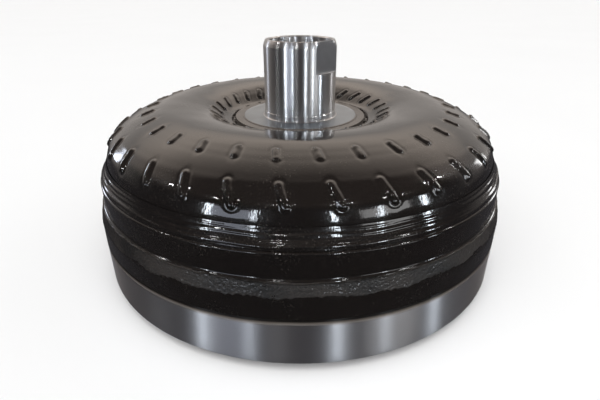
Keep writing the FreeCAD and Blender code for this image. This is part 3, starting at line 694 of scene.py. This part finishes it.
def bumps(tree, layers):
    """Chain of bumps. Each layer is a height socket and the millimetres that a height of 1 means."""
    normal = None
    for height, depth in layers:
        inputs = {"Height": height, "Distance": depth * MM, "Strength": 1.0}
        if normal is not None:
            inputs["Normal"] = normal
        normal = add(tree, "Bump", inputs).outputs["Normal"]
    return normal


def turned_vector(tree, around, across):
    """Coordinates whose noise runs in fine rings round the axis, on walls and on faces."""
    split = add(tree, "SeparateXYZ", {"Vector": local(tree)})
    flat = add(tree, "CombineXYZ", {"X": split.outputs["X"], "Y": split.outputs["Y"]}).outputs["Vector"]
    radius = add(tree, "VectorMath", {0: flat}, operation="LENGTH").outputs["Value"]
    level = maths(tree, "MULTIPLY", maths(tree, "ADD", radius, split.outputs["Z"]), across)
    low = add(tree, "VectorMath", {0: flat, "Scale": around}, operation="SCALE").outputs["Vector"]
    high = add(tree, "CombineXYZ", {"Z": level}).outputs["Vector"]
    return add(tree, "VectorMath", {0: low, 1: high}, operation="ADD").outputs["Vector"]


def set_all(tree, shader, **inputs):
    """Sets inputs of a shader by name, with _ for the spaces in the name."""
    connect(tree, shader, {key.replace("_", " "): value for key, value in inputs.items()})


def gloss_black_paint():
    """Sprayed black gloss over steel: orange peel, dust nibs, faint brown tone and thin dusty film."""
    material, tree, shader = new_material("gloss_black_paint_look")
    dust = remap(tree, noise(tree, local(tree), 900.0, 2.0), 0.60, 0.78)
    film = remap(tree, noise(tree, stretched(tree, 1, 1, 1.6), 26.0, 5.0, 0.62), 0.42, 0.72)
    specks = maths(tree, "MULTIPLY", dust, film)
    tone = mixed(tree, noise(tree, local(tree), 9.0), (0.0035, 0.0030, 0.0028), (0.0075, 0.0056, 0.0047))
    colour = mixed(tree, maths(tree, "MULTIPLY", specks, 0.6), tone, (0.10, 0.085, 0.072))
    rough = remap(tree, film, 0.0, 1.0, 0.16, 0.34)
    rough = maths(tree, "ADD", rough, maths(tree, "MULTIPLY", specks, 0.3))
    peel = noise(tree, local(tree), 210.0, 1.5, 0.4)
    slow = noise(tree, stretched(tree, 1, 1, 1.5), 38.0, 2.0, 0.4)
    cells = add(tree, "TexVoronoi", {"Vector": local(tree), "Scale": 260.0, "Randomness": 1.0})
    nibs = remap(tree, cells.outputs["Distance"], 0.0, 0.16, 1.0, 0.0)
    nibs = maths(tree, "MULTIPLY", nibs, film)
    sags = noise(tree, turned_vector(tree, 7.0, 1.0), 150.0, 2.0)
    normal = bumps(tree, [(slow, 0.10), (sags, 0.030), (peel, 0.018), (nibs, 0.07)])
    set_all(tree, shader, Base_Color=colour, Roughness=rough, Normal=normal, Coat_Normal=normal)
    set_all(tree, shader, Coat_Weight=1.0, Coat_Roughness=0.03, Coat_IOR=1.5, Specular_IOR_Level=0.12)
    return material


def crust_look():
    """Dull scale under a starved coat of the same paint, with glints where the paint has pooled."""
    material, tree, shader = new_material("painted_scale_look")
    coarse = noise(tree, local(tree), 320.0, 4.0, 0.65)
    fine = noise(tree, local(tree), 1500.0, 2.0, 0.6)
    patch = remap(tree, noise(tree, stretched(tree, 1, 1, 2.2), 34.0, 3.0), 0.35, 0.65)
    tone = mixed(tree, patch, (0.004, 0.0034, 0.0030), (0.017, 0.0132, 0.0108))
    colour = mixed(tree, remap(tree, fine, 0.54, 0.75, 0.0, 0.6), tone, (0.060, 0.048, 0.039))
    wet = remap(tree, coarse, 0.32, 0.42, 0.14, 0.50)
    rough = maths(tree, "ADD", wet, maths(tree, "MULTIPLY", patch, 0.15))
    normal = bumps(tree, [(coarse, 0.30), (fine, 0.10)])
    set_all(tree, shader, Base_Color=colour, Roughness=rough, Normal=normal)
    set_all(tree, shader, Coat_Weight=0.25, Coat_Roughness=0.12, IOR=1.45)
    return material


def steel(name, colour, stain, rough, grooves, groove_mm, aniso=0.0, stain_share=0.5, scratch=0.0):
    """Machined steel with turning marks round the axis, stains and, if asked, slanted scratches."""
    material, tree, shader = new_material(name)
    lines = noise(tree, turned_vector(tree, 6.0, 1.0), grooves, 3.0, 0.7)
    broad = noise(tree, turned_vector(tree, 3.0, 0.7), grooves * 0.16, 2.0, 0.5)
    blotch = noise(tree, stretched(tree, 1, 1, 0.8), 17.0, 4.0, 0.6)
    tint = mixed(tree, remap(tree, blotch, 0.42, 0.72, 0.0, stain_share), colour, stain)
    shade = mixed(tree, remap(tree, lines, 0.3, 0.7, 0.0, 0.22), tint, tuple(0.55 * c for c in colour))
    spread = remap(tree, lines, 0.3, 0.7, rough * 0.88, rough * 1.12)
    spread = maths(tree, "ADD", spread, maths(tree, "MULTIPLY", blotch, 0.03))
    layers = [(lines, groove_mm), (broad, groove_mm * 1.2)]
    if scratch:
        slant = {"Vector": local(tree), "Rotation": (0.5, 0.9, 0.35), "Scale": (1.0, 14.0, 1.0)}
        slanted = add(tree, "Mapping", slant).outputs["Vector"]
        marks = remap(tree, noise(tree, slanted, 90.0, 2.0, 0.4), 0.64, 0.70)
        layers.append((marks, -0.02 * scratch))
        spread = maths(tree, "ADD", spread, maths(tree, "MULTIPLY", marks, 0.12 * scratch))
    normal = bumps(tree, layers)
    set_all(tree, shader, Base_Color=shade, Roughness=spread, Normal=normal, Metallic=1.0)
    if aniso:
        tangent = add(tree, "Tangent", direction_type="RADIAL", axis="Z").outputs["Tangent"]
        set_all(tree, shader, Tangent=tangent, Anisotropic=aniso, Anisotropic_Rotation=0.25)
    return material


def turned_band():
    """Bare turned wall of the cover, with a burnt brown haze below the edge of the paint."""
    colour, stain = (0.74, 0.74, 0.76), (0.60, 0.57, 0.55)
    material = steel("turned_steel_look", colour, stain, 0.30, 1500.0, 0.001, aniso=1.0, stain_share=0.25)
    tree = material.node_tree
    shader = next(n for n in tree.nodes if n.type == "BSDF_PRINCIPLED")
    height = add(tree, "SeparateXYZ", {"Vector": local(tree)}).outputs["Z"]
    wander = maths(tree, "MULTIPLY", noise(tree, stretched(tree, 1, 1, 0.2), 22.0, 3.0), 1.6 * MM)
    level = maths(tree, "SUBTRACT", height, wander)
    haze = remap(tree, level, (PAINT_EDGE - 6.0) * MM, (PAINT_EDGE - 3.4) * MM)
    black = remap(tree, level, (PAINT_EDGE - 5.0) * MM, (PAINT_EDGE - 2.2) * MM)
    plain = shader.inputs["Base Color"].links[0].from_socket
    burnt = mixed(tree, maths(tree, "MULTIPLY", haze, 0.75), plain, (0.19, 0.135, 0.085))
    colour = mixed(tree, black, burnt, (0.006, 0.005, 0.0045))
    bare = remap(tree, black, 0.0, 1.0, 1.0, 0.0)
    set_all(tree, shader, Base_Color=colour, Metallic=bare, Specular_IOR_Level=0.2)
    return material


def cast_aluminium():
    """Die-cast aluminium: grainy skin and grey tone that varies, brighter where the grain stands up."""
    material, tree, shader = new_material("cast_aluminium_look")
    grain = noise(tree, local(tree), 620.0, 4.0, 0.6)
    cloud = noise(tree, local(tree), 40.0, 3.0)
    tone = mixed(tree, cloud, (0.46, 0.46, 0.45), (0.60, 0.60, 0.59))
    colour = mixed(tree, remap(tree, grain, 0.35, 0.7, 0.0, 0.4), tone, (0.74, 0.74, 0.73))
    rough = remap(tree, grain, 0.3, 0.7, 0.52, 0.34)
    normal = bumps(tree, [(cloud, 0.15), (grain, 0.06)])
    set_all(tree, shader, Base_Color=colour, Roughness=rough, Normal=normal, Metallic=1.0)
    return material


def pressed_steel():
    """Oiled pressed or forged steel inside the unit: dark grey, cloudy, with faint drawing marks."""
    material, tree, shader = new_material("internal_steel_look")
    cloud = noise(tree, local(tree), 55.0, 4.0, 0.6)
    marks = noise(tree, turned_vector(tree, 10.0, 1.0), 420.0, 2.0)
    tone = mixed(tree, cloud, (0.27, 0.27, 0.275), (0.42, 0.41, 0.40))
    colour = mixed(tree, remap(tree, marks, 0.4, 0.7, 0.0, 0.35), tone, (0.18, 0.165, 0.15))
    rough = remap(tree, cloud, 0.3, 0.7, 0.24, 0.42)
    normal = bumps(tree, [(cloud, 0.05), (marks, 0.01)])
    set_all(tree, shader, Base_Color=colour, Roughness=rough, Normal=normal, Metallic=1.0)
    return material


def spring_steel():
    """Oil-tempered spring wire: blue-black, with fine drawing lines."""
    material, tree, shader = new_material("spring_steel_look")
    cloud = noise(tree, local(tree), 130.0, 3.0)
    lines = noise(tree, stretched(tree, 1, 1, 6.0), 500.0, 2.0)
    colour = mixed(tree, cloud, (0.085, 0.09, 0.105), (0.16, 0.15, 0.15))
    rough = remap(tree, cloud, 0.3, 0.7, 0.26, 0.4)
    normal = bumps(tree, [(lines, 0.01)])
    set_all(tree, shader, Base_Color=colour, Roughness=rough, Normal=normal, Metallic=1.0)
    return material


def paper_lining():
    """Paper friction lining: tan fibres soaked in fluid."""
    material, tree, shader = new_material("paper_lining_look")
    fibre = noise(tree, local(tree), 1100.0, 5.0, 0.7)
    cloud = noise(tree, local(tree), 60.0, 3.0)
    tone = mixed(tree, cloud, (0.13, 0.075, 0.035), (0.21, 0.13, 0.065))
    colour = mixed(tree, remap(tree, fibre, 0.5, 0.75, 0.0, 0.7), tone, (0.30, 0.21, 0.12))
    rough = remap(tree, fibre, 0.3, 0.7, 0.55, 0.8)
    set_all(tree, shader, Base_Color=colour, Roughness=rough, Normal=bumps(tree, [(fibre, 0.06)]))
    return material


def moulded(name, dark, light, rough, grain):
    """Moulded seal or thrust cap: fine grain, and a tone and gloss that drift a little."""
    material, tree, shader = new_material(name)
    fine = noise(tree, local(tree), grain, 3.0, 0.6)
    cloud = noise(tree, local(tree), 45.0, 3.0)
    colour = mixed(tree, cloud, dark, light)
    spread = remap(tree, fine, 0.3, 0.7, rough - 0.08, rough + 0.1)
    set_all(tree, shader, Base_Color=colour, Roughness=spread, Normal=bumps(tree, [(fine, 0.02)]))
    return material


def flange_satin():
    """Flange face round the foot of the hub: dull grey satin with cloudy stains."""
    colour, stain = (0.38, 0.42, 0.46), (0.25, 0.27, 0.29)
    return steel("flange_satin_look", colour, stain, 0.40, 900.0, 0.003, stain_share=0.8)


def rim_paint():
    """Outer ring of the flange, which the overspray has dulled to brown-grey."""
    material, tree, shader = new_material("rim_overspray_look")
    grain = noise(tree, local(tree), 800.0, 3.0, 0.6)
    cloud = noise(tree, local(tree), 70.0, 3.0)
    tone = mixed(tree, cloud, (0.045, 0.038, 0.033), (0.11, 0.095, 0.082))
    colour = mixed(tree, remap(tree, grain, 0.55, 0.75, 0.0, 0.5), tone, (0.20, 0.18, 0.16))
    rough = remap(tree, grain, 0.3, 0.7, 0.3, 0.5)
    set_all(tree, shader, Base_Color=colour, Roughness=rough, Normal=bumps(tree, [(grain, 0.03)]))
    set_all(tree, shader, Coat_Weight=0.4, Coat_Roughness=0.15)
    return material


def bare_steel():
    """Bare machined steel, lightly scratched."""
    colour, stain = (0.58, 0.575, 0.57), (0.42, 0.39, 0.36)
    return steel("bare_steel_look", colour, stain, 0.28, 1100.0, 0.004, scratch=0.5)


def bearing_steel():
    """Hardened and ground steel, the smoothest in the unit."""
    return steel("bearing_steel_look", (0.66, 0.66, 0.67), (0.55, 0.53, 0.50), 0.14, 1600.0, 0.001)


def cage_steel():
    """Brownish pressed sheet, as of bearing cages."""
    return steel("cage_steel_look", (0.40, 0.36, 0.29), (0.30, 0.25, 0.19), 0.34, 700.0, 0.004)


def ptfe():
    return moulded("ptfe_seal_look", (0.045, 0.045, 0.048), (0.075, 0.072, 0.07), 0.42, 900.0)


def phenolic():
    return moulded("phenolic_look", (0.11, 0.035, 0.02), (0.17, 0.06, 0.03), 0.38, 700.0)


def ground_hub():
    """Outside of the hub's tube, ground to a fine finish and scratched in handling."""
    colour, stain = (0.70, 0.705, 0.72), (0.56, 0.555, 0.55)
    return steel("ground_hub_look", colour, stain, 0.29, 1300.0, 0.001, aniso=1.0, scratch=1.0)


def milled_flat():
    """Drive flats of the hub: coarser marks, stained and scratched."""
    colour, stain = (0.52, 0.525, 0.54), (0.34, 0.34, 0.35)
    return steel("milled_flat_look", colour, stain, 0.34, 420.0, 0.03, stain_share=0.9, scratch=1.0)


paint = gloss_black_paint()
looks = {
    "gloss_black_paint": paint,
    "bare_steel": bare_steel(),
    "internal_steel": pressed_steel(),
    "bearing_steel": bearing_steel(),
    "cage_steel": cage_steel(),
    "paper_lining": paper_lining(),
    "ptfe_seal": ptfe(),
    "phenolic": phenolic(),
    "spring_steel": spring_steel(),
    "cast_aluminium": cast_aluminium(),
}
for node in nodes.values():
    slot_name = node.data.materials[0].name
    node.data.materials.clear()
    node.data.materials.append(looks[slot_name])


# ---------------------------------------------------------------- pieces
def housing_piece(piece, slot, replaced, *materials):
    """Puts a piece on the housing in place of a CAD node, with one material for each of its slots."""
    for material in materials:
        piece.data.materials.append(material)
    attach(piece, "housing")
    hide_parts(replaced)
    return piece


hub_looks = [ground_hub(), flange_satin(), rim_paint(), milled_flat()]
housing_piece(cover_dish(), "bare_steel", "front_cover", turned_band())
housing_piece(cover_skirt(), "gloss_black_paint", "front_cover", paint)
housing_piece(seam_crust(), "gloss_black_paint", "front_cover", crust_look())
housing_piece(impeller_shell(), "gloss_black_paint", "impeller_shell", paint)
housing_piece(closure_weld(), "gloss_black_paint", "closure_weld", paint)
housing_piece(hub_weld(), "gloss_black_paint", "hub_weld", paint)
housing_piece(pump_hub(), "bare_steel", "pump_hub", *hub_looks)
for number in range(SPRING_COUNT):
    spring = damper_spring(number)
    spring.data.materials.append(looks["spring_steel"])
    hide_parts("damper_springs")


# ---------------------------------------------------------------- studio
def floor():
    """Wide pale floor under the object, which the gloss doesn't mirror."""
    reach = 16.0
    mesh = bpy.data.meshes.new("floor")
    corners = [(-reach, -reach, 0), (reach, -reach, 0), (reach, reach, 0), (-reach, reach, 0)]
    mesh.from_pydata(corners, [], [(0, 1, 2, 3)])
    material, tree, shader = new_material("pale_floor")
    colour = mixed(tree, noise(tree, local(tree), 3.0, 3.0), (0.84, 0.84, 0.84), (0.87, 0.87, 0.87))
    set_all(tree, shader, Base_Color=colour, Roughness=0.9)
    mesh.materials.append(material)
    plane = bpy.data.objects.new("floor", mesh)
    bpy.context.scene.collection.objects.link(plane)
    plane.visible_glossy = False
    plane.visible_shadow = False


def backdrop():
    """Pale dome behind everything, which only the camera sees."""
    bm = bmesh.new()
    bmesh.ops.create_uvsphere(bm, u_segments=48, v_segments=24, radius=15.0)
    mesh = bpy.data.meshes.new("backdrop")
    bm.to_mesh(mesh)
    bm.free()
    material, tree, shader = new_material("pale_backdrop")
    set_all(tree, shader, Base_Color=(0, 0, 0, 1), Emission_Color=(0.93, 0.93, 0.93, 1))
    set_all(tree, shader, Emission_Strength=1.0)
    mesh.materials.append(material)
    dome = bpy.data.objects.new("backdrop", mesh)
    bpy.context.scene.collection.objects.link(dome)
    dome.visible_glossy = False
    dome.visible_diffuse = False
    dome.visible_shadow = False
    dome.visible_transmission = False


def key_light(name, azimuth, elevation, spread, strength):
    """Very soft sun for the matt surfaces. The glossy ones mirror the panels and surround instead."""
    data = bpy.data.lights.new(name, "SUN")
    data.angle = math.radians(spread)
    data.energy = strength
    light = bpy.data.objects.new(name, data)
    light.rotation_euler = (math.radians(90 - elevation), 0, math.radians(azimuth))
    light.visible_glossy = False
    bpy.context.scene.collection.objects.link(light)


def panel(name, azimuth, distance, low, high, width, radiance, colour=(1.0, 1.0, 1.0)):
    """Upright lamp, in metres, that faces the object's axis and shows only in the gloss."""
    height = high - low
    data = bpy.data.lights.new(name, "AREA")
    data.shape = "RECTANGLE"
    data.size = width
    data.size_y = height
    data.color = colour
    data.energy = radiance * math.pi * width * height
    light = bpy.data.objects.new(name, data)
    turn = math.radians(azimuth)
    light.location = (distance * math.sin(turn), -distance * math.cos(turn), (low + high) / 2)
    light.rotation_euler = (math.radians(90), 0, turn)
    light.visible_diffuse = False
    light.visible_camera = False
    bpy.context.scene.collection.objects.link(light)


def studio_lights():
    """Strips and two broad panels in front, rim lights behind and an arc of small lamps above."""
    strip_azimuths = (-46.0, -23.0, 17.0, 40.0, 66.0)
    strip_tint, left_tint, rim_tint = (0.92, 1.0, 1.08), (0.90, 0.97, 1.14), (0.90, 0.97, 1.12)
    for number, azimuth in enumerate(strip_azimuths):
        brightness = 40.0 if number % 2 == 0 else 22.0
        panel("strip_%d" % (number + 1), azimuth, 1.6, 0.02, 0.46, 0.05, brightness, strip_tint)
    panel("panel_left", -34.0, 1.9, 0.06, 0.48, 0.80, 2.8, left_tint)
    panel("panel_right", 44.0, 1.9, 0.06, 0.48, 0.90, 3.2)
    panel("rim_left", -122.0, 1.8, 0.15, 0.60, 0.22, 5.0, rim_tint)
    panel("rim_right", 118.0, 1.8, 0.15, 0.60, 0.22, 5.0)
    for number, azimuth in enumerate(range(-84, 97, 36)):
        panel("lamp_%d" % (number + 1), azimuth, 1.5, 1.15, 1.21, 0.06, 150.0)


def surround():
    """Plain studio seen only in reflections: warm and pale behind the object, dim in front."""
    world = bpy.data.worlds.new("surround")
    world.use_nodes = True
    bpy.context.scene.world = world
    tree = world.node_tree
    tree.nodes.clear()
    direction = add(tree, "TexCoord").outputs["Generated"]
    split = add(tree, "SeparateXYZ", {"Vector": direction})
    y, z = split.outputs["Y"], split.outputs["Z"]
    back = remap(tree, y, 0.05, 0.62)
    walls = mixed(tree, back, (0.055, 0.056, 0.062), (0.52, 0.48, 0.45))
    ceiling = mixed(tree, back, (0.15, 0.125, 0.115), (1.50, 1.30, 1.14))
    upper = mixed(tree, remap(tree, z, 0.34, 0.60), walls, ceiling)
    total = mixed(tree, remap(tree, z, -0.16, 0.06), (0.050, 0.048, 0.052), upper)
    background = add(tree, "Background", {"Color": total, "Strength": 1.0})
    output = add(tree, "OutputWorld")
    tree.links.new(background.outputs["Background"], output.inputs["Surface"])
    world.cycles_visibility.diffuse = False
    world.cycles_visibility.camera = False


def camera():
    """Camera in front of the object and above it, looking down by 26.53 degrees."""
    data = bpy.data.cameras.new("camera")
    data.sensor_width = 36.0
    data.lens = 25.4
    data.clip_end = 200.0
    view = bpy.data.objects.new("camera", data)
    view.location = (0, -0.32886, 0.19722)
    view.rotation_euler = (math.radians(90 - 26.53), 0, 0)
    bpy.context.scene.collection.objects.link(view)
    bpy.context.scene.camera = view


floor()
backdrop()
surround()
studio_lights()
key_light("soft_key", -25.0, 62.0, 90.0, 2.8)
key_light("soft_fill", 60.0, 48.0, 120.0, 1.6)
camera()
bpy.context.scene.view_settings.view_transform = "Standard"
